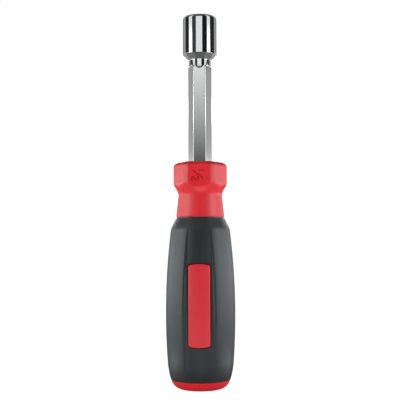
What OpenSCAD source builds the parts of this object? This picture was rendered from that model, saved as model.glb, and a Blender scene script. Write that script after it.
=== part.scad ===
// Hollow-shaft nut driver with a hexagon bolster and a three-lobed soft grip.
// It stands on its butt: +Z runs along the axis to the socket, and the badge faces -Y.

/* [Overall] */
// Length from the butt to the mouth of the socket
overall_l = 196; // [186:1:210]
// Diameter of the bore that a threaded rod passes through
rod_bore_d = 8.4; // [7.6:0.1:8.8]

/* [Socket] */
// Width across the flats of the nut that it drives
nut_af = 12.7; // [11:0.1:13.2]
// Play between the nut and the recess, across flats
nut_play = 0.2; // [0.1:0.05:0.4]
// Depth of the hexagon recess
nut_depth = 14; // [8:0.5:17]
// Outside diameter of the socket
socket_d = 17.6; // [16.8:0.1:20]
// Length of the socket's straight outside, with its front chamfer
socket_l = 20.3; // [18:0.1:26]
// Width of the chamfer round the socket's mouth
mouth_chamfer = 1.2; // [0.4:0.1:1.4]
// Width of the lead-in round the corners of the recess
lead_in = 0.4; // [0.2:0.1:0.6]
// Slope of the socket's rear cone, from the axis
rear_cone_deg = 47; // [35:1:60]

/* [Shaft] */
// Width across the flats of the hexagon shaft
shaft_af = 10.85; // [10.4:0.05:12]
// Radius on the shaft's six corners
shaft_corner_r = 0.6; // [0.3:0.1:1]
// Diameter of the turned neck behind the socket
neck_d = 11.46; // [11:0.02:12]
// Length of the neck's straight part
neck_l = 2.4; // [1:0.1:6]
// Length over which the neck runs out on the flats
neck_runout_l = 3; // [1:0.1:6]
// Length of the taper that ends the shaft's corners at the neck
corner_taper_l = 1.6; // [0.5:0.1:4]
// Height of the shaft's tail above the butt
shaft_tail_h = 9; // [6:0.5:20]
// Height of the lowest lock groove on the shaft, above the butt
lock_groove_h = 22; // [16:1:30]
// Distance between the shaft's lock grooves
lock_groove_pitch = 28; // [10:1:40]
// Number of lock grooves on the shaft
lock_groove_count = 3; // [1:1:3]
// Width of a lock groove, on the shaft and on the core
lock_groove_w = 4; // [2:0.5:6]
// Depth of a lock groove below the corners that it crosses
lock_groove_depth = 0.4; // [0.2:0.05:0.45]

/* [Collar] */
// Width across the flats of the hexagon bolster
bolster_af = 25.2; // [24:0.1:30]
// Radius on the bolster's six corners
bolster_corner_r = 3.5; // [1:0.1:6]
// Height of the bolster's top above the waist
bolster_h = 17.6; // [15:0.1:24]
// Radius of the rounding round the bolster's top
crown_r = 6.5; // [5:0.1:8]
// Radius of the flat in the middle of the bolster's top
crown_flat_r = 9; // [7.5:0.1:10]
// Diameter of the waist under the bolster, as a share of the grip's
waist_share = 0.628; // [0.58:0.002:0.66]
// Radius of the hollow at the waist
waist_fillet_r = 5.5; // [3:0.1:8]
// Slope of the flare above the waist, from the axis
flare_deg = 28; // [20:1:40]
// Slope of the neck below the waist, from the axis
neck_slope_deg = 6.3; // [2:0.1:10]
// Length of the neck from the waist down to the grip
neck_below_l = 11.4; // [8:0.1:16]
// Length of the skirt that runs down inside the grip
skirt_l = 15.4; // [10:0.1:22]
// Step from the neck's foot in to the skirt
skirt_step = 1.6; // [1:0.1:2.2]
// Wall between the waist and the corners of the core's nose
collar_wall = 2.4; // [1.6:0.1:3]
// Thickness of the collar's roof above the core's nose
roof_t = 5.4; // [3:0.1:8]

/* [Grip] */
// Length of the soft grip
grip_l = 84.5; // [78:0.5:100]
// Diameter over the lobes at the grip's belly
grip_d = 36.4; // [34:0.2:42]
// Height of the belly above the butt
belly_h = 39.5; // [32:0.5:46]
// Radius of the barrel's long curve
barrel_r = 350; // [300:5:600]
// Radius of the curve from the barrel in to the shoulder
shoulder_r = 25; // [15:1:40]
// Slope of the shoulder's cone at the grip's top, from the axis
shoulder_cone_deg = 25.6; // [20:0.2:30]
// Height of the shoulder, from the end of the barrel to the grip's top
shoulder_h = 9.4; // [8.5:0.1:12]
// Radius of the curve from the barrel in to the butt
tail_r = 35; // [25:1:60]
// Height above the butt where that curve starts
tail_curve_h = 14; // [12:0.5:20]
// Thickness of the soft grip over the core
grip_wall = 3; // [1.6:0.1:4]

/* [Flutes] */
// Number of flutes round the grip
flute_count = 3; // [2:1:3]
// Width of a flute between the lobes' edges at the belly, as a share of the grip's diameter
flute_share = 0.456; // [0.4:0.002:0.48]
// Slope of a flute's walls, from the tangent
flute_wall_deg = 33.6; // [25:0.1:45]
// Height of a flute's foot above the butt
flute_foot_h = 12.8; // [9:0.1:16]
// Length of a flute
flute_l = 67; // [60:0.5:69]

/* [Badge] */
// Width of the badge
badge_w = 11.4; // [8:0.1:12.4]
// Length of the badge
badge_l = 42.6; // [25:0.1:50]
// Height of the badge's middle above the butt
badge_mid_h = 44; // [40:0.5:48]
// Rise of the arc at each end of the badge
badge_arc_rise = 0.7; // [0.3:0.1:3]
// Height that the badge stands proud of the flute's floor
badge_proud = 0.4; // [0.1:0.1:1]
// Depth that the badge is let into the core
badge_seat = 1.6; // [0.8:0.1:2.5]
// Gap between the badge and the edge of the grip's window
badge_gap = 0.25; // [0.1:0.05:0.6]

/* [End cap] */
// Height of the cap below the grip
cap_h = 4.9; // [4:0.1:7]
// Radius round the edge of the butt
butt_round_r = 7.5; // [7:0.1:12]
// Thickness of the cap's floor under the core
cap_floor_t = 3; // [2:0.1:4]
// Length of the cap's spigot that runs up inside the grip
spigot_l = 9.1; // [6:0.1:14]
// Step from the cap's edge in to the spigot
spigot_step = 2.6; // [1.5:0.1:3.5]
// Reach of the core's post inside the spigot, as a share of the spigot's radius
foot_post_share = 0.71; // [0.64:0.01:0.8]

/* [Fits] */
// Gap between pieces that are moulded round one another
mould_gap = 0.05; // [0.02:0.01:0.1]

/* [Hidden] */

// Cuts run past the faces that they open by this much
overrun = 1;
// The flutes' cutters run past both ends of a flute by this much
flute_overrun = 4;
// The neck's run-out ends this far below the shaft's flats
runout_sink = 0.4;
// A curve that leaves a line or another curve smoothly is grown by this much, so that it crosses it
tangent_lap = 0.01;
// Stretches of an outline run this far into one another
blend_overlap = 3;
round_sides = 96;
arc_sides = 720;
hex_sides = 6;
hex_half_deg = 30;
turn_deg = 360;
front_deg = -90;
$fn = round_sides;

// Heights along the socket and shaft, from the mouth down
socket_r = socket_d / 2;
shaft_neck_r = neck_d / 2;
recess_af = nut_af + nut_play;
recess_floor_z = overall_l - nut_depth;
socket_foot_z = overall_l - socket_l;
cone_foot_z = socket_foot_z - (socket_r - shaft_neck_r) / tan(rear_cone_deg);
neck_foot_z = cone_foot_z - neck_l;
runout_z = neck_foot_z - neck_runout_l;
shaft_corner_reach = corner_reach(shaft_af, shaft_corner_r);
taper_r = shaft_corner_reach + overrun;
taper_z = neck_foot_z - corner_taper_l * (taper_r - shaft_neck_r) / (shaft_corner_reach - shaft_neck_r);
lock_groove_zs = [for (i = [0 : lock_groove_count - 1]) lock_groove_h + i * lock_groove_pitch];

// Heights along the handle, from the butt up
grip_top_z = cap_h + grip_l;
waist_z = grip_top_z + neck_below_l;
bolster_top_z = waist_z + bolster_h;
core_foot_z = cap_h + spigot_l;
core_top_z = grip_top_z - skirt_l;
nose_top_z = bolster_top_z - roof_t;
foot_groove_z = (cap_floor_t + core_foot_z) / 2;
flute_top_z = flute_foot_h + flute_l;
shoulder_z = grip_top_z - shoulder_h;

// Radii of the handle
belly_r = grip_d / 2;
waist_r = waist_share * belly_r;
flute_w = flute_share * grip_d;
waist_centre_r = waist_r + waist_fillet_r;
neck_tangent = [
    waist_centre_r - waist_fillet_r * cos(neck_slope_deg),
    waist_z - waist_fillet_r * sin(neck_slope_deg)
];
flare_tangent = [
    waist_centre_r - waist_fillet_r * cos(flare_deg),
    waist_z + waist_fillet_r * sin(flare_deg)
];
neck_foot_r = neck_tangent[0] + (neck_tangent[1] - grip_top_z) * tan(neck_slope_deg);
flare_end_r = bolster_af / 2 / cos(hex_half_deg) + overrun;
flare_end_z = flare_tangent[1] + (flare_end_r - flare_tangent[0]) / tan(flare_deg);
skirt_r = neck_foot_r - skirt_step;
post_r = waist_r - collar_wall;
cap_r = lobe_r(cap_h);
spigot_r = cap_r - spigot_step;
foot_post_r = foot_post_share * spigot_r;
butt_flat_r = cap_r - sqrt(pow(butt_round_r, 2) - pow(butt_round_r - cap_h, 2));
flute_top_r = lobe_r(flute_top_z);
flute_foot_r = lobe_r(flute_foot_h);
flute_taper_share = (flute_top_r - flute_foot_r) / flute_l;
badge_foot_z = badge_mid_h - badge_l / 2;
badge_back_r = flute_floor_r(badge_mid_h) - grip_wall - badge_seat;
badge_arc_r = (pow(badge_w / 2, 2) + pow(badge_arc_rise, 2)) / (2 * badge_arc_rise);

// Distance from the middle of a rounded hexagon to the tip of its corners
function corner_reach(af, corner_r) = (af / 2 - corner_r) / cos(hex_half_deg) + corner_r;

// Middle of a curve of radius r that leaves the barrel smoothly at height z
function blend_share(z) = (z - belly_h) / barrel_r;
function blend_mid(z, r) = [
    belly_r - barrel_r + (barrel_r - r) * sqrt(1 - pow(blend_share(z), 2)),
    belly_h + (barrel_r - r) * blend_share(z)
];

// Height where the two curves meet once both are set in by inset
function blend_z(z, inset) = belly_h + (barrel_r - inset) * blend_share(z);

// Radius at height z of a circle with the middle mid
function circle_r(mid, r, z) = mid[0] + sqrt(pow(r, 2) - pow(z - mid[1], 2));

// Radius over the lobes at height z, on the curve that passes there
function lobe_r(z) =
    z < tail_curve_h ? circle_r(blend_mid(tail_curve_h, tail_r), tail_r, z)
    : z < shoulder_z ? circle_r([belly_r - barrel_r, belly_h], barrel_r, z)
    : circle_r(blend_mid(shoulder_z, shoulder_r), shoulder_r, z);

// Radius of a flute's floor at height z
function flute_floor_r(z) = flute_foot_r + (z - flute_foot_h) * flute_taper_share;

// Upright hexagon bar with sharp corners and one flat facing -Y
module hexagon_bar(af, z0, z1) {
    translate([0, 0, z0])
        cylinder(r = af / 2 / cos(hex_half_deg), h = z1 - z0, $fn = hex_sides);
}

// Upright round bar
module round_bar(r, z0, z1) {
    translate([0, 0, z0])
        cylinder(r = r, h = z1 - z0);
}

// Outline of a hexagon with true arcs on its corners
module rounded_hexagon(af, corner_r) {
    mid_r = (af / 2 - corner_r) / cos(hex_half_deg);
    step = turn_deg / hex_sides;
    polygon([
        for (i = [0 : hex_sides - 1], side = [-1, 1])
            mid_r * [cos(i * step), sin(i * step)]
                + corner_r * [cos(i * step + side * hex_half_deg), sin(i * step + side * hex_half_deg)]
    ]);
    for (i = [0 : hex_sides - 1])
        rotate(i * step)
            translate([mid_r, 0])
                circle(corner_r + tangent_lap);
}

// Ring-shaped grooves that cross only the corners of a hexagon bar
module corner_grooves(reach, heights, depth, w) {
    for (z = heights)
        difference() {
            round_bar(reach + overrun, z - w / 2, z + w / 2);
            round_bar(reach - depth, z - w / 2 - overrun, z + w / 2 + overrun);
        }
}

// The shaft's hexagon with its lock grooves, grown by gap for the cavity that is moulded round it
module shaft_bar(z0, z1, gap) {
    difference() {
        translate([0, 0, z0])
            linear_extrude(z1 - z0)
                rounded_hexagon(shaft_af + 2 * gap, shaft_corner_r + gap);
        corner_grooves(shaft_corner_reach + gap, lock_groove_zs, lock_groove_depth, lock_groove_w - 2 * gap);
    }
}

// A hexagon post of the core with a lock groove at groove_z, grown by gap for the cavity round it
module core_post(reach, groove_z, z0, z1, gap) {
    difference() {
        hexagon_bar(2 * (reach * cos(hex_half_deg) + gap), z0, z1);
        corner_grooves(reach + gap, [groove_z], lock_groove_depth, lock_groove_w - 2 * gap);
    }
}

// Half outline of the barrel between two heights, set in by inset
module barrel_outline(inset, z0, z1) {
    tail_z = blend_z(tail_curve_h, inset);
    curve_z = blend_z(shoulder_z, inset);
    intersection() {
        translate([belly_r - barrel_r, belly_h])
            circle(barrel_r - inset, $fn = arc_sides);
        translate([0, tail_z])
            square([grip_d, min(z1, curve_z) - tail_z]);
    }
    intersection() {
        translate(blend_mid(tail_curve_h, tail_r))
            circle(tail_r - inset + tangent_lap);
        translate([0, z0])
            square([grip_d, tail_z + blend_overlap - z0]);
    }
}

// Half outline of the grip's shoulder, from the barrel up to the collar
module shoulder_outline() {
    z0 = shoulder_z - blend_overlap;
    intersection() {
        translate(blend_mid(shoulder_z, shoulder_r))
            circle(shoulder_r + tangent_lap);
        polygon([
            [0, z0],
            [neck_foot_r + (grip_top_z - z0) * tan(shoulder_cone_deg), z0],
            [neck_foot_r, grip_top_z],
            [0, grip_top_z]
        ]);
    }
}

// What is cut away for the flutes: vee prisms that stop at a tapered floor, set in by inset
module flutes(inset) {
    edge_reach = sqrt(pow(belly_r, 2) - pow(flute_w / 2, 2));
    vee_foot = edge_reach - flute_w / 2 * tan(flute_wall_deg) - inset / cos(flute_wall_deg);
    vee_half_w = (grip_d - vee_foot) / tan(flute_wall_deg);
    z0 = flute_foot_h - flute_overrun;
    z1 = flute_top_z + flute_overrun;
    difference() {
        for (i = [0 : flute_count - 1])
            rotate(front_deg + i * turn_deg / flute_count)
                translate([0, 0, z0])
                    linear_extrude(z1 - z0)
                        polygon([[vee_foot, 0], [grip_d, vee_half_w], [grip_d, -vee_half_w]]);
        translate([0, 0, z0 - overrun])
            cylinder(
                r1 = flute_floor_r(z0 - overrun) - inset,
                r2 = flute_floor_r(z1 + overrun) - inset,
                h = z1 - z0 + 2 * overrun
            );
    }
}

// The lobed barrel under the soft grip between two heights, set in by inset
module lobed_barrel(inset, z0, z1) {
    difference() {
        rotate_extrude()
            barrel_outline(inset, z0, z1);
        flutes(inset);
    }
}

// Outline of the badge with an arc at each end, grown by gap for the openings round it
module badge_outline(gap) {
    arc_mid = badge_l / 2 - badge_arc_r;
    intersection() {
        square([badge_w + 2 * gap, badge_l + 2 * gap], center = true);
        translate([0, arc_mid])
            circle(badge_arc_r + gap);
        translate([0, -arc_mid])
            circle(badge_arc_r + gap);
    }
}

// The badge's outline carried outwards from depth, through the front of the handle
module badge_block(gap, depth) {
    translate([0, -depth, badge_mid_h])
        rotate([-front_deg, 0, 0])
            linear_extrude(grip_d - depth)
                badge_outline(gap);
}

// Half outline of the collar: skirt, neck, waist, flare and rounded top, before the hexagon is cut
module collar_outline() {
    skirt_foot_z = core_top_z + mould_gap;
    crown_z = bolster_top_z - crown_r;
    translate([0, skirt_foot_z])
        square([skirt_r, grip_top_z + overrun - skirt_foot_z]);
    intersection() {
        difference() {
            polygon([
                [0, grip_top_z],
                [neck_foot_r, grip_top_z],
                neck_tangent,
                flare_tangent,
                [flare_end_r, flare_end_z],
                [flare_end_r, bolster_top_z],
                [0, bolster_top_z]
            ]);
            translate([waist_centre_r, waist_z])
                circle(waist_fillet_r + tangent_lap);
        }
        union() {
            translate([0, grip_top_z])
                square([flare_end_r, crown_z - grip_top_z]);
            translate([0, grip_top_z])
                square([crown_flat_r, bolster_top_z - grip_top_z]);
            translate([crown_flat_r, crown_z])
                circle(crown_r + tangent_lap);
        }
    }
}

// Forged steel bar: hexagon shaft, turned neck and socket, bored right through
module driver_shaft() {
    color("#b9bcbd")
        difference() {
            union() {
                intersection() {
                    shaft_bar(shaft_tail_h, neck_foot_z, 0);
                    rotate_extrude()
                        polygon([
                            [0, 0],
                            [taper_r, 0],
                            [taper_r, taper_z],
                            [shaft_neck_r, neck_foot_z],
                            [0, neck_foot_z]
                        ]);
                }
                rotate_extrude()
                    polygon([
                        [0, runout_z],
                        [shaft_af / 2 - runout_sink, runout_z],
                        [shaft_neck_r, neck_foot_z],
                        [shaft_neck_r, cone_foot_z],
                        [socket_r, socket_foot_z],
                        [socket_r, overall_l - mouth_chamfer],
                        [socket_r - mouth_chamfer, overall_l],
                        [0, overall_l]
                    ]);
            }
            round_bar(rod_bore_d / 2, shaft_tail_h - overrun, overall_l);
            hexagon_bar(recess_af, recess_floor_z, overall_l + overrun);
            translate([0, 0, overall_l - lead_in])
                cylinder(
                    r1 = recess_af / 2 / cos(hex_half_deg) - lead_in,
                    r2 = recess_af / 2 / cos(hex_half_deg) + overrun - lead_in,
                    h = overrun
                );
        }
}

// Hard first-shot core that grips the shaft and carries every other piece of the handle
module handle_core() {
    color("#4a4c4f")
        difference() {
            union() {
                lobed_barrel(grip_wall, core_foot_z, core_top_z);
                core_post(post_r, grip_top_z, core_top_z - overrun, nose_top_z, 0);
                core_post(foot_post_r, foot_groove_z, cap_floor_t + mould_gap, core_foot_z + overrun, 0);
            }
            shaft_bar(shaft_tail_h - mould_gap, nose_top_z + overrun, mould_gap);
            round_bar(rod_bore_d / 2, 0, shaft_tail_h);
            badge_block(mould_gap, badge_back_r - mould_gap);
        }
}

// Red hard collar: the hexagon bolster that a spanner grips, the waisted neck, and a skirt inside the grip
module front_collar() {
    color("#cf2a34")
        difference() {
            intersection() {
                rotate_extrude()
                    collar_outline();
                union() {
                    translate([0, 0, waist_z])
                        linear_extrude(bolster_h + overrun)
                            rounded_hexagon(bolster_af, bolster_corner_r);
                    round_bar(neck_foot_r + overrun, core_top_z, waist_z + overrun);
                }
            }
            core_post(post_r, grip_top_z, core_top_z - overrun, nose_top_z + mould_gap, mould_gap);
            translate([0, 0, nose_top_z - overrun])
                linear_extrude(roof_t + 2 * overrun)
                    rounded_hexagon(shaft_af + 2 * mould_gap, shaft_corner_r + mould_gap);
        }
}

// Soft three-lobed grip moulded over the core, with a window for the badge
module grip_sleeve() {
    color("#55585c")
        difference() {
            rotate_extrude() {
                barrel_outline(0, cap_h, shoulder_z);
                shoulder_outline();
            }
            flutes(0);
            lobed_barrel(grip_wall - mould_gap, core_foot_z - mould_gap, core_top_z + mould_gap);
            round_bar(skirt_r + mould_gap, core_top_z, grip_top_z + overrun);
            round_bar(spigot_r + mould_gap, cap_h - overrun, core_foot_z);
            badge_block(badge_gap, badge_back_r);
        }
}

// Red pad that seats in the core and stands just proud of the front flute's floor
module badge_plate() {
    color("#c82b36")
        intersection() {
            badge_block(0, badge_back_r);
            translate([0, 0, badge_foot_z - overrun])
                cylinder(
                    r1 = flute_floor_r(badge_foot_z - overrun) + badge_proud,
                    r2 = flute_floor_r(badge_foot_z + badge_l + overrun) + badge_proud,
                    h = badge_l + 2 * overrun
                );
        }
}

// Red hard cap that closes the butt, with a spigot inside the grip and a hole for the rod
module end_cap() {
    color("#cf2a34")
        difference() {
            rotate_extrude() {
                square([butt_flat_r, core_foot_z - mould_gap]);
                intersection() {
                    translate([butt_flat_r, butt_round_r])
                        circle(butt_round_r + tangent_lap);
                    square([grip_d, cap_h - mould_gap]);
                }
                translate([0, cap_floor_t])
                    square([spigot_r, core_foot_z - cap_floor_t - mould_gap]);
            }
            core_post(foot_post_r, foot_groove_z, cap_floor_t, core_foot_z + overrun, mould_gap);
            round_bar(rod_bore_d / 2, -overrun, core_foot_z);
        }
}

driver_shaft();
handle_core();
front_collar();
grip_sleeve();
badge_plate();
end_cap();
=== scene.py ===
import math

import bmesh
import bpy
from mathutils import Matrix, Quaternion, Vector


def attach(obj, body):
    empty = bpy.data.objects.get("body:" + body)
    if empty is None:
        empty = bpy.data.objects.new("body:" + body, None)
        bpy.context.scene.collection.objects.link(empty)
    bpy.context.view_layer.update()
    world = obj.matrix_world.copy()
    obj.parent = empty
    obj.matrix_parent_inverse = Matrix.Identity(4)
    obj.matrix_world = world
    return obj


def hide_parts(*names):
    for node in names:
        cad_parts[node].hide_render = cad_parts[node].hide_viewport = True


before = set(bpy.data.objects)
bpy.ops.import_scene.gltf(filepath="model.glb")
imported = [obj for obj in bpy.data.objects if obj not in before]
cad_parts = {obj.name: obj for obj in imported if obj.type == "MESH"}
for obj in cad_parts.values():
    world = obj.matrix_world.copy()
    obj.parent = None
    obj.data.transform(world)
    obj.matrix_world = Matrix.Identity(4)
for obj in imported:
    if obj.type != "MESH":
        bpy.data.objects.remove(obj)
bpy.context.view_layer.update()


# The view: a short telephoto half a metre in front of the badge and a touch to its right, a little below the
# middle of the tool and tipped up, so that the tool stands upright in a square picture.
MM = 0.001
camera_turn = math.radians(2.5)
camera_tip = math.radians(2.862)
camera_roll = math.radians(-0.2)
camera_distance = 474.4
camera_height = 74.86
camera_lens = 81
camera_sensor = 36
camera_shift = -0.0006
camera_clip = 10

camera = bpy.data.objects.new("camera", bpy.data.cameras.new("camera"))
bpy.context.scene.collection.objects.link(camera)
camera.data.lens = camera_lens
camera.data.sensor_width = camera_sensor
camera.data.shift_x = camera_shift
camera.data.clip_start = camera_clip * MM
camera.location = Vector((
    camera_distance * math.sin(camera_turn),
    -camera_distance * math.cos(camera_turn),
    camera_height,
)) * MM
ahead = Vector((
    -math.sin(camera_turn) * math.cos(camera_tip),
    math.cos(camera_turn) * math.cos(camera_tip),
    math.sin(camera_tip),
))
camera.rotation_mode = "QUATERNION"
camera.rotation_quaternion = ahead.to_track_quat("-Z", "Y") @ Quaternion((0, 0, 1), camera_roll)
bpy.context.scene.camera = camera
bpy.context.scene.view_settings.view_transform = "Standard"


# The studio: a white sweep that the camera, gloss and glass see as plain white. What it sends onto the tool comes in
# low, most of it from round the dark end where the camera stands, less than half as much from behind and little from
# above, at a level where colours come out about as they are written.
light_front = 4.6
# Light that comes in steeper than lid_rise, the sine of its angle to the floor, is down to the share from above.
lid_rise = 0.45
light_above_share = 0.08
light_spread = (
    # how far towards the front, from 0 behind the tool to 1 at the camera, and the share of the light there
    (0.0, 0.45),
    (0.5, 0.12),
    (0.9, 1.0),
    (0.93, 1.0),
    (0.97, 0.06),
)

def srgb(code):
    """Linear colour of an sRGB hex code."""
    parts = [int(code[i:i + 2], 16) / 255 for i in (1, 3, 5)]
    return tuple(p / 12.92 if p <= 0.04045 else ((p + 0.055) / 1.055) ** 2.4 for p in parts) + (1.0,)

def add(tree, kind, inputs=None, **settings):
    """One node with its settings; an input is a value, or a socket to link from."""
    made = tree.nodes.new(kind)
    for name, value in settings.items():
        setattr(made, name, value)
    for name, value in (inputs or {}).items():
        if isinstance(value, bpy.types.NodeSocket):
            tree.links.new(value, made.inputs[name])
        else:
            made.inputs[name].default_value = value
    return made

world = bpy.data.worlds.new("white_sweep")
world.use_nodes = True
world.cycles.sampling_method = "NONE"
bpy.context.scene.world = world
tree = world.node_tree
tree.nodes.clear()
path = add(tree, "ShaderNodeLightPath")
seen = add(tree, "ShaderNodeMath", {0: path.outputs["Is Camera Ray"], 1: path.outputs["Is Glossy Ray"]},
           operation="ADD")
seen = add(tree, "ShaderNodeMath", {0: seen.outputs[0], 1: path.outputs["Is Transmission Ray"]},
           operation="ADD", use_clamp=True)
compass = add(tree, "ShaderNodeTexCoord")
facing = add(tree, "ShaderNodeVectorMath", {0: compass.outputs["Generated"],
                                            1: (math.sin(camera_turn), -math.cos(camera_turn), 0)},
             operation="DOT_PRODUCT")
facing = add(tree, "ShaderNodeMapRange", {"Value": facing.outputs["Value"], "From Min": -1.0, "From Max": 1.0})
spread = add(tree, "ShaderNodeValToRGB", {"Fac": facing.outputs[0]})
spread.color_ramp.elements.remove(spread.color_ramp.elements[1])
spread.color_ramp.elements[0].color = (light_spread[0][1],) * 3 + (1,)
for place, share in light_spread[1:]:
    spread.color_ramp.elements.new(place).color = (share, share, share, 1)
rise = add(tree, "ShaderNodeSeparateXYZ", {0: compass.outputs["Generated"]})
lid = add(tree, "ShaderNodeMapRange", {"Value": rise.outputs["Z"], "From Max": lid_rise, "To Min": light_front,
                                       "To Max": light_front * light_above_share})
ambient = add(tree, "ShaderNodeMath", {0: spread.outputs["Color"], 1: lid.outputs[0]}, operation="MULTIPLY")
level = add(tree, "ShaderNodeMapRange", {"Value": seen.outputs[0], "To Min": ambient.outputs[0], "To Max": 1.0})
sweep = add(tree, "ShaderNodeBackground", {"Color": (1, 1, 1, 1), "Strength": level.outputs[0]})
add(tree, "ShaderNodeOutputWorld", {"Surface": sweep.outputs[0]})


# The floor: a light table topped with plain matt card, which takes the tool's shadow. It glows a little by itself, so
# that it stays white out to the horizon, and a broad ring of it round the tool lights the tool from below.
floor_half = 4000
floor_drop = 0.3
floor_card = "#c8c8c8"
floor_glow = 0.88
table_glow = 0.9
# The ring's glow grows from nothing at the axis to its full level here, and fades out between the next two distances.
table_full = 58
table_fade_from = 220
table_fade_to = 420
sharp_edge = math.radians(35)

def material(name):
    """A new material with an empty tree, and its tree."""
    made = bpy.data.materials.new(name)
    made.use_nodes = True
    made.node_tree.nodes.clear()
    return made, made.node_tree

def finished(name, bm, look):
    """The object that a bmesh becomes, shaded smooth but for its sharp edges."""
    for face in bm.faces:
        face.smooth = True
    mesh = bpy.data.meshes.new(name)
    bm.to_mesh(mesh)
    bm.free()
    mesh.set_sharp_from_angle(angle=sharp_edge)
    mesh.materials.append(look)
    made = bpy.data.objects.new(name, mesh)
    bpy.context.scene.collection.objects.link(made)
    return made

white_card, tree = material("matt_white_card")
card = add(tree, "ShaderNodeBsdfDiffuse", {"Color": srgb(floor_card)})
path = add(tree, "ShaderNodeLightPath")
spot = add(tree, "ShaderNodeTexCoord")
reach = add(tree, "ShaderNodeVectorMath", {0: spot.outputs["Object"]}, operation="LENGTH")
table = add(tree, "ShaderNodeMapRange", {"Value": reach.outputs["Value"], "From Min": table_fade_from * MM,
                                         "From Max": table_fade_to * MM, "To Min": table_glow, "To Max": 0.0})
ring = add(tree, "ShaderNodeMapRange", {"Value": reach.outputs["Value"], "From Max": table_full * MM})
table = add(tree, "ShaderNodeMath", {0: table.outputs[0], 1: ring.outputs[0]}, operation="MULTIPLY")
table = add(tree, "ShaderNodeMath", {0: table.outputs[0], 1: path.outputs["Is Diffuse Ray"]}, operation="MULTIPLY")
glow = add(tree, "ShaderNodeMath", {0: path.outputs["Is Camera Ray"], 1: floor_glow, 2: table.outputs[0]},
           operation="MULTIPLY_ADD")
glow = add(tree, "ShaderNodeEmission", {"Color": (1, 1, 1, 1), "Strength": glow.outputs[0]})
both = add(tree, "ShaderNodeAddShader", {0: card.outputs[0], 1: glow.outputs[0]})
add(tree, "ShaderNodeOutputMaterial", {"Surface": both.outputs[0]})

bm = bmesh.new()
bmesh.ops.create_grid(bm, x_segments=1, y_segments=1, size=floor_half * MM)
bmesh.ops.translate(bm, vec=(0, 0, -floor_drop * MM), verts=bm.verts)
floor = finished("floor", bm, white_card)


# The lamps: a broad soft box low down at each side, and a tall strip in front of each of them. Each is aimed at
# the middle of the tool.
tool_middle = Vector((0, 0, 98 * MM))
lamps = (
    # name, degrees from the camera, height, distance, width and own height in mm, radiance
    ("soft_box", 92, 80, 700, 1300, 148, 2.5),
    ("strip_box", 64, 205, 650, 250, 270, 2.0),
)

def soft_box(name, turn_deg, height, distance, width, tall, radiance):
    """A rectangular lamp at a turn from the camera, aimed at the tool, of that radiance."""
    turn = math.radians(turn_deg) + camera_turn
    lamp = bpy.data.lights.new(name, "AREA")
    lamp.shape = "RECTANGLE"
    lamp.size = width * MM
    lamp.size_y = tall * MM
    lamp.energy = radiance * math.pi * lamp.size * lamp.size_y
    made = bpy.data.objects.new(name, lamp)
    made.location = Vector((distance * math.sin(turn), -distance * math.cos(turn), height)) * MM
    made.rotation_mode = "QUATERNION"
    made.rotation_quaternion = (tool_middle - made.location).to_track_quat("-Z", "Y")
    bpy.context.scene.collection.objects.link(made)

for side, word in ((-1, "left"), (1, "right")):
    for name, turn_deg, *sizes in lamps:
        soft_box(name + "_" + word, side * turn_deg, *sizes)


# The flags: dark and grey cards that stand round the tool just out of the picture, to draw the dark bands that
# bright chrome shows. They are seen in reflections alone and take no light from the tool.
flag_distance = 500
flag_low = -20
flag_high = 900
flag_split_z = 266
flag_mid_z = 164
front_left = -25.4
front_right = 16.9
card_steps = 24
pale_grey = (0.40, 0.40, 0.41)
flags = (
    # name, from and to in degrees from the camera, low and high edge in mm, tone
    ("flag_left_grey", -53.5, front_left, flag_low, flag_high, (0.050, 0.052, 0.062)),
    ("flag_right_black", front_right, 50.5, flag_low, flag_high, (0.013, 0.013, 0.015)),
    ("flag_left_black", -114, -78.7, flag_split_z, flag_high, (0.022, 0.023, 0.030)),
    ("flag_right_far", 74.4, 116, flag_split_z, flag_high, (0.020, 0.021, 0.024)),
    ("flag_right_low", 97, 150, flag_mid_z, flag_split_z, pale_grey),
    ("flag_right_high", 116, 150, flag_split_z, flag_high, pale_grey),
    ("flag_left_low", 210, 263, flag_mid_z, flag_split_z, pale_grey),
    ("flag_left_high", 210, 246, flag_split_z, flag_high, pale_grey),
    ("flag_back", 150, 210, 60, flag_high, (0.06, 0.06, 0.06)),
    ("flag_front_high", front_left, front_right, 400, flag_high, (0.02, 0.02, 0.02)),
)

def even_glow(name, tone):
    """The look of a card that glows in one tone of linear light, where white is 1."""
    look, tree = material("lit_" + name)
    glow = add(tree, "ShaderNodeEmission", {"Color": tone + (1.0,), "Strength": 1.0})
    add(tree, "ShaderNodeOutputMaterial", {"Surface": glow.outputs[0]})
    return look

def bent_card(name, ends, turn_from, turn_to, look):
    """A card swept round the tool from a straight edge, seen in reflections alone; ends are the edge's
    (distance, height) in mm."""
    start = math.radians(turn_from) + camera_turn
    bm = bmesh.new()
    verts = [bm.verts.new(Vector((d * math.sin(start), -d * math.cos(start), z)) * MM) for d, z in ends]
    edge = bm.edges.new(verts)
    bmesh.ops.spin(bm, geom=verts + [edge], cent=(0, 0, 0), axis=(0, 0, 1),
                   angle=math.radians(turn_to - turn_from), steps=card_steps, use_merge=turn_to - turn_from == 360)
    card = finished(name, bm, look)
    card.visible_camera = False
    card.visible_diffuse = False
    card.visible_transmission = False
    card.visible_shadow = False

for name, turn_from, turn_to, low, high, tone in flags:
    bent_card(name, ((flag_distance, low), (flag_distance, high)), turn_from, turn_to, even_glow(name, tone))

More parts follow.
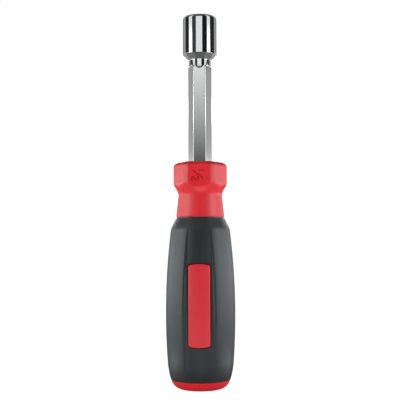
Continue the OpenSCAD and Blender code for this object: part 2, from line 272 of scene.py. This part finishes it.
# Brighter cards stand between them: white ones at the height that the neck and the top of the grip throw back, grey
# ones for the side flats of the shaft, and two low strips close to the tool for the foot of the grip.
card_distance = 480
card_low = 203
card_high = 252
bright_cards = (
    # name, from and to in degrees from the camera, distance, low and high edge in mm, brightness
    ("card_left", -111, -53.5, card_distance, card_low, card_high, 5.0),
    ("card_right", 50.5, 101, card_distance, card_low, card_high, 5.0),
    ("card_left_rear", -172, -139, card_distance, card_low, card_high, 5.0),
    ("card_right_rear", 129, 172, card_distance, card_low, card_high, 5.0),
    ("grey_left_mid", -68, -53.5, 470, 112, card_high, 0.45),
    ("grey_right_mid", 50.5, 63, 470, 112, card_high, 0.45),
    ("grey_left_near", -150, -79, 30, 157, 173, 0.4),
    ("grey_right_near", 74.4, 150, 30, 157, 173, 0.4),
    ("strip_left_low", -104, -62, 42, 0.3, 15, 1.25),
    ("strip_right_low", 62, 104, 42, 0.3, 15, 1.25),
)
for name, turn_from, turn_to, distance, low, high, bright in bright_cards:
    bent_card(name, ((distance, low), (distance, high)), turn_from, turn_to, even_glow(name, (bright,) * 3))

# Straight in front and nearer by, a card fades from black, level with the handle, up to white, level with the socket.
fade_distance = 100
fade_from_z = 119
fade_to_z = 190
fade_dark = 0.014
fade_card, tree = material("lit_flag_front")
spot = add(tree, "ShaderNodeTexCoord")
place = add(tree, "ShaderNodeSeparateXYZ", {0: spot.outputs["Object"]})
fade = add(tree, "ShaderNodeMapRange", {"Value": place.outputs["Z"], "From Min": fade_from_z * MM,
                                        "From Max": fade_to_z * MM, "To Min": fade_dark})
glow = add(tree, "ShaderNodeEmission", {"Color": (1, 1, 1, 1), "Strength": fade.outputs[0]})
add(tree, "ShaderNodeOutputMaterial", {"Surface": glow.outputs[0]})
bent_card("flag_front", ((fade_distance, flag_low), (fade_distance, fade_to_z)), front_left, front_right, fade_card)

# Dark cards lie on the floor round the front of the tool, with a bright strip between them straight in front, and a
# dim one hangs over it.
lying_z = 0.2
level_cards = (
    # name, near and far edge in mm, height, from and to in degrees from the camera, tone
    ("flag_floor_near", 12, 78, lying_z, -85, 85, 0.13),
    ("flag_floor_left", 78, 110, lying_z, -85, -25, 0.10),
    ("flag_floor_right", 78, 110, lying_z, 25, 85, 0.10),
    ("bounce_front", 78, 125, lying_z, -25, 25, 3.4),
    ("flag_floor_far", 125, flag_distance, lying_z, -30, 30, 0.07),
    ("flag_overhead", 10, flag_distance, flag_high, -180, 180, 0.10),
)
for name, near, far, height, turn_from, turn_to, tone in level_cards:
    bent_card(name, ((near, height), (far, height)), turn_from, turn_to, even_glow(name, (tone,) * 3))


# The driver shaft: one forged bar of chrome-vanadium steel, hexagonal below and upset into a round socket above,
# bored right through for a threaded rod, turned behind the socket and then plated with bright chrome.
socket_r = 8.9
mouth_z = 196
mouth_r = 7.9
chamfer_foot_z = 195.1
recess_flats = 12.9
recess_floor_z = 182
lead_in = 0.4
mouth_ease = 0.06
chamfer_ease = 0.6
socket_foot_z = 175.7
socket_foot_ease = 0.08
cone_foot_z = 172.84
shaft_neck_r = 5.8
shaft_neck_ease = 0.2
shaft_neck_foot_z = 169.4
runout_end_z = 167
runout_round = 3
runout_ease = 0.03
corner_slope = 0.5
corner_ease = 0.05
runout_steps = 30
shaft_flats = 10.85
shaft_corner = 0.6
shaft_tail_z = 9
tail_chamfer = 0.2
rod_bore_r = 4.2
sixth = math.pi / 3
cos_30 = math.cos(math.pi / 6)
ease_hold = 0.25

def hexagon_r(angle, flats, corner):
    """Distance from the axis to a hexagon with rounded corners, one flat towards -Y."""
    from_corner = abs((angle + sixth / 2) % sixth - sixth / 2)
    mid = (flats / 2 - corner) / cos_30
    if from_corner < math.atan2(corner / 2, mid + corner * cos_30):
        return mid * math.cos(from_corner) + math.sqrt(corner ** 2 - (mid * math.sin(from_corner)) ** 2)
    return flats / 2 / math.cos(sixth / 2 - from_corner)

def eased(points, sizes, steps):
    """The points of an outline, each corner with a size replaced by a short curve that starts that far off it.
    A point a little way off holds each end of the curve, so that the flats beside it stay flat to the light."""
    made = []
    for i, (point, size) in enumerate(zip(points, sizes)):
        if not size:
            made.append(point)
            continue
        corner = Vector(point)
        before = corner + (Vector(points[i - 1]) - corner).normalized() * size
        after = corner + (Vector(points[(i + 1) % len(points)]) - corner).normalized() * size
        made.append(tuple(before + (before - corner) * ease_hold))
        for k in range(steps + 1):
            t = k / steps
            made.append(tuple(before * (1 - t) ** 2 + corner * 2 * t * (1 - t) + after * t ** 2))
        made.append(tuple(after + (after - corner) * ease_hold))
    return made

def soft_min(a, b, reach):
    """The lesser of two, with the change between them eased over reach."""
    lap = max(reach - abs(a - b), 0) / reach
    return min(a, b) - lap * lap * reach / 4

def spun_shell(outline, angles):
    """A closed shell spun round the tool's axis; outline gives the same number of (radius, height) at any angle."""
    outlines = [outline(angle) for angle in angles]
    bm = bmesh.new()
    row = bm.verts.layers.int.new("row")
    loop = [bm.verts.new((1, 0, i)) for i in range(len(outlines[0]))]
    for i, vert in enumerate(loop):
        vert[row] = i
    edges = [bm.edges.new(pair) for pair in zip(loop, loop[1:] + loop[:1])]
    bmesh.ops.spin(bm, geom=loop + edges, cent=(0, 0, 0), axis=(0, 0, 1), angle=2 * math.pi, steps=len(angles),
                   use_merge=True)
    for vert in bm.verts:
        column = round(math.atan2(vert.co.y, vert.co.x) / (2 * math.pi) * len(angles)) % len(angles)
        r, z = outlines[column][vert[row]]
        vert.co = Vector((r * math.cos(angles[column]), r * math.sin(angles[column]), z)) * MM
    bmesh.ops.recalc_face_normals(bm, faces=bm.faces)
    return bm

# Columns stand closer together at the hexagon's corners, where the light runs along the bar.
corner_share = 0.12
corner_columns = 20
flat_columns = 36
corner_half = sixth * corner_share / 2
shaft_angles = []
for i in range(6):
    shaft_angles += [i * sixth - corner_half + 2 * corner_half * k / corner_columns for k in range(corner_columns)]
    shaft_angles += [i * sixth + corner_half + (sixth - 2 * corner_half) * k / flat_columns
                     for k in range(flat_columns)]

def shaft_outline(angle):
    """The shaft's outline at an angle: up the bore and the recess, and down the outside."""
    recess_r = hexagon_r(angle, recess_flats, 0)
    recess_reach = recess_flats / 2 / cos_30
    lead_z = mouth_z - min(lead_in, recess_reach - recess_r)
    bar_r = hexagon_r(angle, shaft_flats, shaft_corner)
    turned = eased(
        [(max(recess_r, recess_reach - lead_in), lead_z), (recess_reach, mouth_z), (mouth_r, mouth_z),
         (socket_r, chamfer_foot_z), (socket_r, socket_foot_z), (shaft_neck_r, cone_foot_z),
         (shaft_neck_r, shaft_neck_foot_z)],
        [0, 0, mouth_ease, chamfer_ease, socket_foot_ease, shaft_neck_ease, 0], steps=6)
    runout = []
    for i in range(1, runout_steps + 1):
        z = shaft_neck_foot_z + (runout_end_z - shaft_neck_foot_z) * i / runout_steps
        cut_r = soft_min(bar_r, shaft_neck_r + (shaft_neck_foot_z - z) * corner_slope, corner_ease)
        mill_r = shaft_neck_r - (shaft_neck_foot_z - z) ** 2 / (2 * runout_round)
        runout.append((-soft_min(-cut_r, -mill_r, runout_ease), z))
    bore = [(rod_bore_r, shaft_tail_z), (rod_bore_r, recess_floor_z), (recess_r, recess_floor_z), (recess_r, lead_z)]
    tail = [(bar_r, shaft_tail_z + tail_chamfer), (bar_r - tail_chamfer, shaft_tail_z)]
    return bore + turned + runout + tail

# Chrome plate over polished steel: a mirror on the turned socket and neck, and on the hexagon the fine long lines
# of the drawn bar show through it, which spread the light into a satin. Real lines are too fine to show, so these are
# drawn several times as wide.
plate_tint = "#dcdedd"
satin_from_z = 168.6
satin_to_z = 167.8
draw_line_w = 0.35
draw_line_l = 40
draw_line_depth = 0.05
polish_w = 6
mirror_roughness = (0.03, 0.075)
satin_roughness = (0.10, 0.20)
chrome, tree = material("bright_chrome_plate")
spot = add(tree, "ShaderNodeTexCoord")
place = add(tree, "ShaderNodeSeparateXYZ", {0: spot.outputs["Object"]})
satin = add(tree, "ShaderNodeMapRange", {"Value": place.outputs["Z"], "From Min": satin_from_z * MM,
                                         "From Max": satin_to_z * MM})
along = add(tree, "ShaderNodeMapping", {"Vector": spot.outputs["Object"],
                                        "Scale": (1 / (draw_line_w * MM), 1 / (draw_line_w * MM),
                                                  1 / (draw_line_l * MM))})
lines = add(tree, "ShaderNodeTexNoise", {"Vector": along.outputs[0], "Scale": 1.0, "Detail": 3.0})
polish = add(tree, "ShaderNodeTexNoise", {"Vector": spot.outputs["Object"], "Scale": 1 / (polish_w * MM),
                                          "Detail": 2.0})
mirror_rough = add(tree, "ShaderNodeMapRange", {"Value": polish.outputs["Fac"], "To Min": mirror_roughness[0],
                                                "To Max": mirror_roughness[1]})
satin_rough = add(tree, "ShaderNodeMapRange", {"Value": lines.outputs["Fac"], "To Min": satin_roughness[0],
                                               "To Max": satin_roughness[1]})
rough = add(tree, "ShaderNodeMix", {"Factor": satin.outputs[0], "A": mirror_rough.outputs[0],
                                    "B": satin_rough.outputs[0]})
depth = add(tree, "ShaderNodeMath", {0: lines.outputs["Fac"], 1: satin.outputs[0]}, operation="MULTIPLY")
relief = add(tree, "ShaderNodeBump", {"Height": depth.outputs[0], "Strength": 0.12,
                                      "Distance": draw_line_depth * MM})
shader = add(tree, "ShaderNodeBsdfPrincipled", {"Base Color": srgb(plate_tint), "Metallic": 1.0,
                                                "Roughness": rough.outputs[0], "Normal": relief.outputs[0]})
add(tree, "ShaderNodeOutputMaterial", {"Surface": shader.outputs[0]})

driver_shaft = finished("driver_shaft_plated", spun_shell(shaft_outline, shaft_angles), chrome)
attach(driver_shaft, "root")
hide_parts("driver_shaft")


# The handle core: the hard first shot of the handle, moulded round the shaft's tail. Nothing of it shows once the
# other pieces are on, so it keeps its own solid, in glass-filled nylon as it leaves the mould.
core_black = "#1c1c1e"
core_streak = "#29292b"
core_roughness = (0.45, 0.62)
nylon_ior = 1.53
fibre_l = 1.5
nylon, tree = material("moulded_glass_filled_nylon")
spot = add(tree, "ShaderNodeTexCoord")
streaks = add(tree, "ShaderNodeTexNoise", {"Vector": spot.outputs["Object"], "Scale": 1 / (fibre_l * MM),
                                           "Detail": 4.0})
tone = add(tree, "ShaderNodeMix", {"Factor": streaks.outputs["Fac"], "A": srgb(core_black), "B": srgb(core_streak)},
           data_type="RGBA")
rough = add(tree, "ShaderNodeMapRange", {"Value": streaks.outputs["Fac"], "To Min": core_roughness[0],
                                         "To Max": core_roughness[1]})
shader = add(tree, "ShaderNodeBsdfPrincipled", {"Base Color": tone.outputs[2], "Roughness": rough.outputs[0],
                                                "IOR": nylon_ior})
add(tree, "ShaderNodeOutputMaterial", {"Surface": shader.outputs[0]})
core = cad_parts["handle_core"]
core.data.materials.clear()
core.data.materials.append(nylon)


# The front collar: red nylon, moulded over the core's nose. A bolster with six flats for a spanner, crowned on top,
# runs down through a flare to a round waist and a neck, and a skirt under the neck goes inside the grip.
neck_foot_r = 12.655
neck_foot_ease = 0.5
collar_foot_z = 89.4
waist_r = 11.43
waist_z = 100.8
waist_fillet = 5.5
waist_steps = 14
neck_slope = math.radians(6.3)
bolster_flats = 25.8
bolster_r = 14.05
flat_edge_ease = 0.04
bolster_foot_z = 106.5
flat_dip = 1.75
side_dip = 0.35
foot_ease = 0.9
bolster_edge_z = 116.45
bolster_top_z = 118.4
crown_in = 4.4
crown_start = math.radians(24)
crown_edge_ease = 0.25
crown_steps = 12
hole_play = 0.1
hole_ease = 0.25
post_reach = 9.08
nose_top_z = 113.05
skirt_r = 11.05
skirt_foot_z = 74.05
even_columns = 360
even_angles = [2 * math.pi * i / even_columns for i in range(even_columns)]

def collar_outline(angle):
    """The collar's outline at an angle: out along its foot, up the neck, the flare and the bolster, and down inside."""
    six_r = soft_min(hexagon_r(angle, bolster_flats, 0), bolster_r, flat_edge_ease)
    hole_r = hexagon_r(angle, shaft_flats + hole_play, shaft_corner + hole_play / 2)
    post_r = hexagon_r(angle, 2 * post_reach * cos_30, 0)
    in_share = (bolster_r - six_r) / (bolster_r - bolster_flats / 2)
    over_flute = math.cos((angle + math.pi / 2) * 3) > 0
    foot_z = bolster_foot_z - in_share * (flat_dip if over_flute else side_dip)
    out = waist_r + waist_fillet - six_r
    up = foot_z - waist_z
    flare = math.atan2(up, out) - math.acos(waist_fillet / math.hypot(up, out))
    waist = []
    for i in range(waist_steps + 1):
        turn = -neck_slope + (flare + neck_slope) * i / waist_steps
        waist.append((waist_r + waist_fillet * (1 - math.cos(turn)), waist_z + waist_fillet * math.sin(turn)))
    crown = []
    for i in range(crown_steps + 1):
        turn = crown_start + (math.pi / 2 - crown_start) * i / crown_steps
        set_in = crown_in * (1 - math.cos(turn) / math.cos(crown_start))
        down = (bolster_top_z - bolster_edge_z) * (1 - math.sin(turn)) / (1 - math.sin(crown_start))
        crown.append((six_r - set_in, bolster_top_z - down))
    foot = eased([(skirt_r, collar_foot_z), (neck_foot_r, collar_foot_z), waist[0]], [0, neck_foot_ease, 0],
                 steps=5)[:-1]
    edges = eased([waist[-1], (six_r, foot_z), crown[0], crown[1]], [0, foot_ease, crown_edge_ease, 0], steps=5)[1:-1]
    hole = eased([crown[-1], (hole_r, bolster_top_z), (hole_r, nose_top_z)], [0, hole_ease, 0], steps=3)[1:-1]
    return (foot + waist + edges + crown[1:] + hole
            + [(hole_r, nose_top_z), (post_r, nose_top_z), (post_r, skirt_foot_z), (skirt_r, skirt_foot_z)])

# Nylon with a semi-gloss from a polished mould, through-coloured red: the gloss is slightly uneven, in patches of
# about a centimetre, over a shallow and much finer orange peel.
nylon_red = "#da1722"
nylon_bright = "#e01c28"
nylon_roughness = (0.32, 0.40)
flow_w = 9
peel_w = 1.2
peel_depth = 0.1

def moulded_red(name, deep, bright, roughness):
    """Through-coloured red plastic from a polished mould, between two tones and two roughnesses."""
    made, tree = material(name)
    spot = add(tree, "ShaderNodeTexCoord")
    flow = add(tree, "ShaderNodeTexNoise", {"Vector": spot.outputs["Object"], "Scale": 1 / (flow_w * MM),
                                            "Detail": 3.0})
    peel = add(tree, "ShaderNodeTexNoise", {"Vector": spot.outputs["Object"], "Scale": 1 / (peel_w * MM),
                                            "Detail": 2.0})
    tone = add(tree, "ShaderNodeMix", {"Factor": flow.outputs["Fac"], "A": srgb(deep), "B": srgb(bright)},
               data_type="RGBA")
    rough = add(tree, "ShaderNodeMapRange", {"Value": flow.outputs["Fac"], "To Min": roughness[0],
                                             "To Max": roughness[1]})
    relief = add(tree, "ShaderNodeBump", {"Height": peel.outputs["Fac"], "Strength": 0.06,
                                          "Distance": peel_depth * MM})
    shader = add(tree, "ShaderNodeBsdfPrincipled", {"Base Color": tone.outputs[2], "Roughness": rough.outputs[0],
                                                    "IOR": nylon_ior, "Normal": relief.outputs[0]})
    add(tree, "ShaderNodeOutputMaterial", {"Surface": shader.outputs[0]})
    return made

red_nylon = moulded_red("moulded_red_nylon", nylon_red, nylon_bright, nylon_roughness)
collar = finished("front_collar_moulded", spun_shell(collar_outline, even_angles), red_nylon)

# The size stands on the front flat as a plain fraction, engraved with a round cutter and read downwards.
mark_cutter_r = 0.5
mark_sunk = 0.28
mark_roundness = 3
merge_reach = 0.001
mark_strokes = (
    # points of each stroke: across the flat and up the tool
    ((-0.7, 113.2), (2.4, 113.2)),
    ((-3.4, 113.5), (2.3, 109.1)),
    ((-3.7, 110.2), (-3.7, 107.9)),
    ((-3.2, 110.1), (-2.4, 109.2), (-1.6, 108.3), (-1.0, 108.0), (-0.5, 108.3), (-0.3, 109.0), (-0.5, 109.7),
     (-1.0, 110.0)),
)

def cut_away(piece, cutter):
    """Takes the cutter's shape out of a piece; the cutter isn't kept."""
    cut = piece.modifiers.new("cut", "BOOLEAN")
    cut.operation = "DIFFERENCE"
    cut.solver = "EXACT"
    cut.object = cutter
    bpy.context.view_layer.update()
    shaped = bpy.data.meshes.new_from_object(piece.evaluated_get(bpy.context.evaluated_depsgraph_get()))
    shaped.set_sharp_from_angle(angle=sharp_edge)
    piece.modifiers.clear()
    piece.data = shaped
    bpy.data.objects.remove(cutter)

for points in mark_strokes:
    stroke = bpy.data.curves.new("size_mark", "CURVE")
    stroke.dimensions = "3D"
    stroke.bevel_depth = mark_cutter_r * MM
    stroke.bevel_resolution = mark_roundness
    stroke.use_fill_caps = True
    line = stroke.splines.new("POLY")
    line.points.add(len(points) - 1)
    for point, (across, up) in zip(line.points, points):
        point.co = (across * MM, (mark_sunk - bolster_flats / 2) * MM, up * MM, 1)
    cutter = bpy.data.objects.new("size_mark", stroke)
    bpy.context.scene.collection.objects.link(cutter)
    bpy.context.view_layer.update()
    stroke_mesh = bpy.data.meshes.new_from_object(cutter.evaluated_get(bpy.context.evaluated_depsgraph_get()))
    bpy.data.objects.remove(cutter)
    bm = bmesh.new()
    bm.from_mesh(stroke_mesh)
    bmesh.ops.remove_doubles(bm, verts=bm.verts, dist=merge_reach * MM)
    bmesh.ops.recalc_face_normals(bm, faces=bm.faces)
    cut_away(collar, finished("size_mark_cutter", bm, red_nylon))
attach(collar, "root")
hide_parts("front_collar")


# The grip sleeve: a soft thermoplastic elastomer, the second shot, moulded round the core. It bellies out in three
# lobes with a flat-floored flute between each two, and the front flute has a window for the badge.
belly_r = 18.195
belly_z = 39.5
barrel_round = 350
tail_round = 40
tail_z = 14
shoulder_round = 4
shoulder_z = 82.6
shoulder_slope = math.radians(26.6)
cone_top_r = 12.45
cone_ease = 0.04
grip_foot_z = 4.9
grip_foot_ease = 0.25
grip_top_z = 89.4
rim_r = 12.25
rim_step = 0.55
rim_z = grip_top_z - rim_step
rim_ease = 0.2
rim_gap = 0.05
flute_half_w = 8.3
flute_wall = math.tan(math.radians(33.6))
flute_foot_z = 12.8
flute_top_z = 79.8
flute_floor_ease = 0.35
lobe_edge_ease = 0.9
flute_spread_least = 0.2
grip_wall = 2.95
core_foot_z = 13.95
core_top_z = 74.05
spigot_bore_r = 12.81
skirt_bore_r = 11.1
third = 2 * math.pi / 3

def blend_middle(z, radius):
    """Middle of a curve of that radius that leaves the barrel smoothly at height z."""
    share = (z - belly_z) / barrel_round
    return (belly_r - barrel_round + (barrel_round - radius) * math.sqrt(1 - share ** 2),
            belly_z + (barrel_round - radius) * share)

def on_circle(middle, radius, z):
    """Distance from the axis to the outside of a circle at height z."""
    return middle[0] + math.sqrt(radius ** 2 - (z - middle[1]) ** 2)

def lobe_r(z):
    """Radius over the lobes."""
    if z < tail_z:
        return on_circle(blend_middle(tail_z, tail_round), tail_round, z)
    if z < shoulder_z:
        return on_circle((belly_r - barrel_round, belly_z), barrel_round, z)
    cone = cone_top_r + (grip_top_z - z) * math.tan(shoulder_slope)
    middle = blend_middle(shoulder_z, shoulder_round)
    if z > middle[1] + shoulder_round * math.sin(shoulder_slope):
        return cone
    return soft_min(on_circle(middle, shoulder_round, z), cone, cone_ease)

def flute_floor_r(z):
    """Radius of a flute's floor, which runs straight from its foot to its top."""
    share = (z - flute_foot_z) / (flute_top_z - flute_foot_z)
    return lobe_r(flute_foot_z) * (1 - share) + lobe_r(flute_top_z) * share

def grip_r(angle, z, inset=0.0):
    """Radius of the grip with its flutes, all of it set in by inset."""
    from_flute = abs((angle + math.pi / 2 + third / 2) % third - third / 2)
    spread = math.cos(from_flute) - math.sin(from_flute) * flute_wall
    if spread < flute_spread_least:
        return lobe_r(z) - inset
    vee_foot = math.sqrt(belly_r ** 2 - flute_half_w ** 2) - flute_half_w * flute_wall - inset
    flute_r = -soft_min(inset - flute_floor_r(z), -vee_foot / spread, flute_floor_ease)
    return soft_min(lobe_r(z) - inset, flute_r, lobe_edge_ease)

def steps_between(start, end, count):
    """Even steps from start to end, with both of them."""
    return [start + (end - start) * i / count for i in range(count + 1)]

# Heights lie closer together at the tail and the shoulder, where the grip curves most.
belly_low_z = 20
belly_high_z = 72
grip_heights = (steps_between(grip_foot_z, belly_low_z, count=36)[1:]
                + steps_between(belly_low_z, belly_high_z, count=50)[1:]
                + steps_between(belly_high_z, rim_z, count=60)[1:-1])
inner_heights = steps_between(core_top_z, core_foot_z, count=24)

def grip_outline(angle):
    """The grip's outline at an angle: out along its foot, up the outside, over the rim and down inside."""
    outside = [(grip_r(angle, z), z) for z in grip_heights]
    foot = eased([(spigot_bore_r, grip_foot_z), (lobe_r(grip_foot_z), grip_foot_z), outside[0]],
                 [0, grip_foot_ease, 0], steps=3)[:-1]
    top = eased([outside[-1], (lobe_r(rim_z), rim_z), (rim_r, rim_z)], [0, rim_ease, 0], steps=4)[1:]
    rim = [(rim_r, grip_top_z - rim_gap), (skirt_bore_r, grip_top_z - rim_gap), (skirt_bore_r, core_top_z)]
    inside = [(grip_r(angle, z, grip_wall), z) for z in inner_heights]
    return foot + outside + top + rim + inside + [(spigot_bore_r, core_foot_z)]

# Elastomer with a finely eroded mould finish: dark grey, matt, with a dull sheen where light comes in low. The
# grain of the real finish is far too fine to show, so it is drawn about five times as coarse.
grip_grey = "#202222"
grip_light = "#272929"
sheen_tint = "#f0f9ff"
grip_roughness = (0.42, 0.5)
elastomer_ior = 1.7
grain_w = 0.25
grain_depth = 0.05
cloud_w = 14
elastomer, tree = material("matt_moulded_elastomer")
spot = add(tree, "ShaderNodeTexCoord")
grain = add(tree, "ShaderNodeTexNoise", {"Vector": spot.outputs["Object"], "Scale": 1 / (grain_w * MM),
                                         "Detail": 2.0})
cloud = add(tree, "ShaderNodeTexNoise", {"Vector": spot.outputs["Object"], "Scale": 1 / (cloud_w * MM),
                                         "Detail": 3.0})
tone = add(tree, "ShaderNodeMix", {"Factor": cloud.outputs["Fac"], "A": srgb(grip_grey), "B": srgb(grip_light)},
           data_type="RGBA")
rough = add(tree, "ShaderNodeMapRange", {"Value": cloud.outputs["Fac"], "To Min": grip_roughness[0],
                                         "To Max": grip_roughness[1]})
relief = add(tree, "ShaderNodeBump", {"Height": grain.outputs["Fac"], "Strength": 0.15,
                                      "Distance": grain_depth * MM})
shader = add(tree, "ShaderNodeBsdfPrincipled", {"Base Color": tone.outputs[2], "Roughness": rough.outputs[0],
                                                "IOR": elastomer_ior, "Specular Tint": srgb(sheen_tint),
                                                "Normal": relief.outputs[0]})
add(tree, "ShaderNodeOutputMaterial", {"Surface": shader.outputs[0]})
grip = finished("grip_sleeve_moulded", spun_shell(grip_outline, even_angles), elastomer)

# The window is cut to the badge's own outline with a fine gap all round.
badge_w = 11.4
badge_l = 42.6
badge_mid_z = 44
badge_rise = 0.7
badge_arc_r = ((badge_w / 2) ** 2 + badge_rise ** 2) / (2 * badge_rise)
badge_corner = 1.1
badge_columns = 24
window_gap = 0.35
window_reach = 30

def badge_half(x, gap):
    """Half the badge's length at x from its middle line, grown by gap."""
    corner = badge_corner + gap
    past = min(max(abs(x) - (badge_w / 2 + gap - corner), 0), corner)
    return (badge_l / 2 - badge_arc_r + math.sqrt((badge_arc_r + gap) ** 2 - x ** 2)
            - corner + math.sqrt(corner ** 2 - past ** 2))

def badge_patch(gap, columns, rows):
    """A flat grid in the badge's outline, grown by gap, closer at its edges, in the XZ plane and facing -Y."""
    bm = bmesh.new()
    bmesh.ops.create_grid(bm, x_segments=columns, y_segments=rows, size=0.5,
                          matrix=Matrix.Rotation(math.pi / 2, 4, "X"))
    for vert in bm.verts:
        x = math.sin(vert.co.x * math.pi) * (badge_w / 2 + gap)
        z = math.sin(vert.co.z * math.pi) * badge_half(x, gap)
        vert.co = Vector((x, 0, badge_mid_z + z)) * MM
    return bm

bm = badge_patch(window_gap, badge_columns, 1)
grown = bmesh.ops.extrude_face_region(bm, geom=bm.faces[:])
fronts = [v for v in grown["geom"] if isinstance(v, bmesh.types.BMVert)]
bmesh.ops.translate(bm, vec=(0, -window_reach * MM, 0), verts=fronts)
bmesh.ops.recalc_face_normals(bm, faces=bm.faces)
cut_away(grip, finished("window_cutter", bm, elastomer))
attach(grip, "root")
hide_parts("grip_sleeve")


# The badge plate: a red pad with arched ends that is keyed into the core and shows through the grip's window,
# just proud of the flute's floor, with a rolled edge.
badge_proud = 0.4
badge_back_y = 12
badge_edge = 0.6
badge_rows = 48
badge_red = "#ce1826"
badge_bright = "#d41d2b"
badge_roughness = (0.34, 0.44)

def badge_front_y(x, z):
    """Where the front of the badge lies, bowed round the tool's axis."""
    return -math.sqrt((flute_floor_r(z) + badge_proud) ** 2 - x ** 2)

red_badge = moulded_red("moulded_red_badge", badge_red, badge_bright, badge_roughness)
bm = badge_patch(0, badge_columns, badge_rows)
bmesh.ops.recalc_face_normals(bm, faces=bm.faces)
rim = [e for e in bm.edges if e.is_boundary]
walls = bmesh.ops.extrude_edge_only(bm, edges=rim)
backs = {v for v in walls["geom"] if isinstance(v, bmesh.types.BMVert)}
for vert in bm.verts:
    x, z = vert.co.x / MM, vert.co.z / MM
    inset = min(max(min(badge_w / 2 - abs(x), badge_half(x, 0) - abs(z - badge_mid_z)), 0), badge_edge)
    rolled = badge_edge - math.sqrt(badge_edge ** 2 - (badge_edge - inset) ** 2)
    vert.co.y = (-badge_back_y if vert in backs else badge_front_y(x, z) + rolled) * MM
bmesh.ops.holes_fill(bm, edges=[e for e in bm.edges if e.is_boundary], sides=0)
bmesh.ops.recalc_face_normals(bm, faces=bm.faces)
badge = finished("badge_plate_moulded", bm, red_badge)
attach(badge, "root")
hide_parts("badge_plate")


# The end cap: red nylon, pushed onto the core's hexagon foot with a spigot inside the grip. Its edge is rolled
# round to a flat butt, where the bore for the rod comes out.
cap_top_z = 4.85
butt_round = 6.3
butt_flat_r = 9.25
butt_steps = 18
bore_ease = 0.4
lip_ease = 0.2
cap_floor_z = 3
foot_post_reach = 9.12
spigot_r = 12.76
spigot_top_z = 13.9

def cap_outline(angle):
    """The cap's outline at an angle: down the bore, out and up round the butt, and in over the spigot."""
    post_r = hexagon_r(angle, 2 * foot_post_reach * cos_30, 0)
    top_turn = math.acos((butt_round - cap_top_z) / butt_round)
    edge = []
    for i in range(butt_steps + 1):
        turn = top_turn * i / butt_steps
        edge.append((butt_flat_r + butt_round * math.sin(turn), butt_round * (1 - math.cos(turn))))
    bore = eased([(rod_bore_r, cap_floor_z), (rod_bore_r, 0), (butt_flat_r, 0)], [0, bore_ease, 0], steps=4)[:-1]
    lip = eased([edge[-2], edge[-1], (spigot_r, cap_top_z)], [0, lip_ease, 0], steps=3)[1:]
    return bore + edge[:-1] + lip + [(spigot_r, spigot_top_z), (post_r, spigot_top_z), (post_r, cap_floor_z)]

cap = finished("end_cap_moulded", spun_shell(cap_outline, even_angles), red_nylon)
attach(cap, "root")
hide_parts("end_cap")
